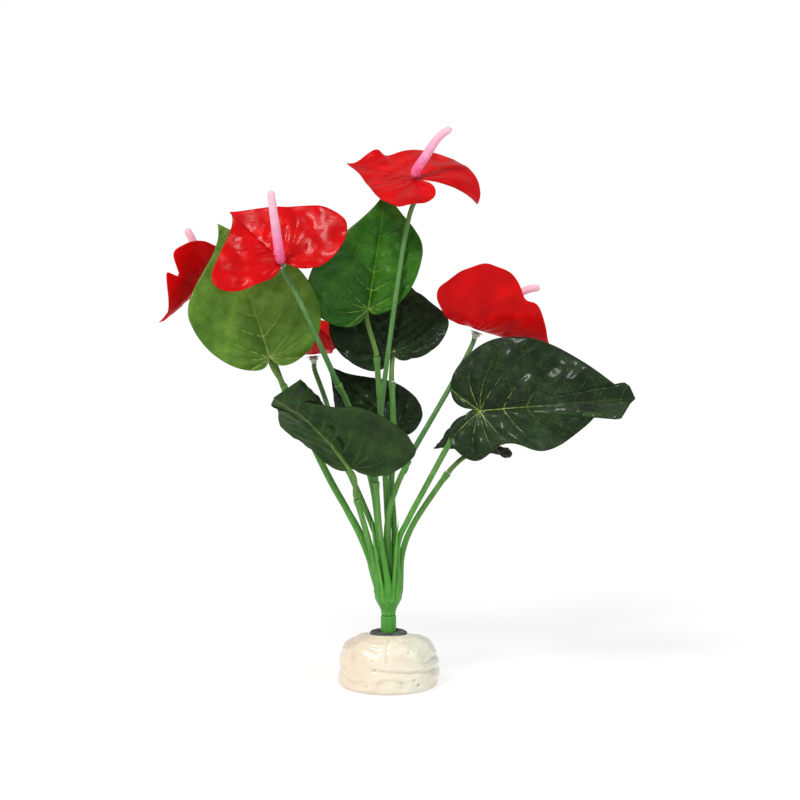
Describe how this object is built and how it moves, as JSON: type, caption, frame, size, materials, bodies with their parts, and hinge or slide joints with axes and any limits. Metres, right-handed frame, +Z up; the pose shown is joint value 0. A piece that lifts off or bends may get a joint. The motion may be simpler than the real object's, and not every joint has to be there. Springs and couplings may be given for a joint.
{
  "type": "artificial anthurium plant in a ceramic rock base",
  "caption": "Artificial anthurium bush with heart-shaped green leaves and red flowers on slender stems, standing in a low glazed ceramic rock.",
  "frame": {"origin": "centre of the ceramic rock's flat underside, on the surface that it stands on", "axes": "+Z up along the trunk, +X to the right and -Y to the front as the picture shows the plant"},
  "size_m": [0.2843, 0.103, 0.34],
  "materials": {
    "cream_glaze": "cream glaze with lighter ledges and peach shading",
    "dark_putty": "dark matt putty",
    "stem_green": "satin mid green",
    "olive_stalk": "satin olive green",
    "sheath_green": "satin light yellow green",
    "light_leaf": "pressed cloth, fresh green with pale veins, coated to a soft gloss",
    "dark_leaf": "pressed cloth, dark green with yellow green veins, coated to a soft gloss",
    "red_spathe": "pressed cloth, bright red, coated to a gloss",
    "pink_spadix": "pale pink at the tip and deeper pink at the foot",
    "clear_collar": "cloudy clear plastic"
  },
  "bodies": {
    "root": {"ceramic_base": "cream_glaze", "putty_ring": "dark_putty", "trunk_sleeve": "stem_green", "bush_hub": "stem_green", "leaf_branch_1": "stem_green", "leaf_petiole_1": "olive_stalk", "leaf_blade_1": "light_leaf", "leaf_branch_2": "stem_green", "leaf_petiole_2": "olive_stalk", "leaf_blade_2": "light_leaf", "leaf_branch_3": "stem_green", "leaf_petiole_3": "olive_stalk", "leaf_blade_3": "dark_leaf", "leaf_branch_4": "stem_green", "leaf_petiole_4": "olive_stalk", "leaf_blade_4": "dark_leaf", "leaf_branch_5": "stem_green", "leaf_petiole_5": "olive_stalk", "leaf_blade_5": "dark_leaf", "leaf_branch_6": "stem_green", "leaf_petiole_6": "olive_stalk", "leaf_blade_6": "dark_leaf", "leaf_branch_7": "stem_green", "leaf_petiole_7": "olive_stalk", "leaf_blade_7": "dark_leaf", "flower_branch_1": "stem_green", "flower_stalk_1": "stem_green", "clear_collar_1": "clear_collar", "star_calyx_1": "olive_stalk", "spathe_1": "red_spathe", "spadix_1": "pink_spadix", "flower_branch_2": "stem_green", "flower_stalk_2": "stem_green", "clear_collar_2": "clear_collar", "star_calyx_2": "olive_stalk", "spathe_2": "red_spathe", "spadix_2": "pink_spadix", "flower_branch_3": "stem_green", "flower_stalk_3": "stem_green", "clear_collar_3": "clear_collar", "star_calyx_3": "olive_stalk", "spathe_3": "red_spathe", "spadix_3": "pink_spadix", "flower_branch_4": "stem_green", "flower_stalk_4": "stem_green", "clear_collar_4": "clear_collar", "star_calyx_4": "olive_stalk", "spathe_4": "red_spathe", "spadix_4": "pink_spadix", "flower_branch_5": "stem_green", "flower_stalk_5": "stem_green", "clear_collar_5": "clear_collar", "star_calyx_5": "olive_stalk", "spathe_5": "red_spathe", "spadix_5": "pink_spadix", "sheath_spike_1": "sheath_green", "sheath_spike_2": "sheath_green", "sheath_spike_3": "sheath_green"}
  },
  "joints": []
}
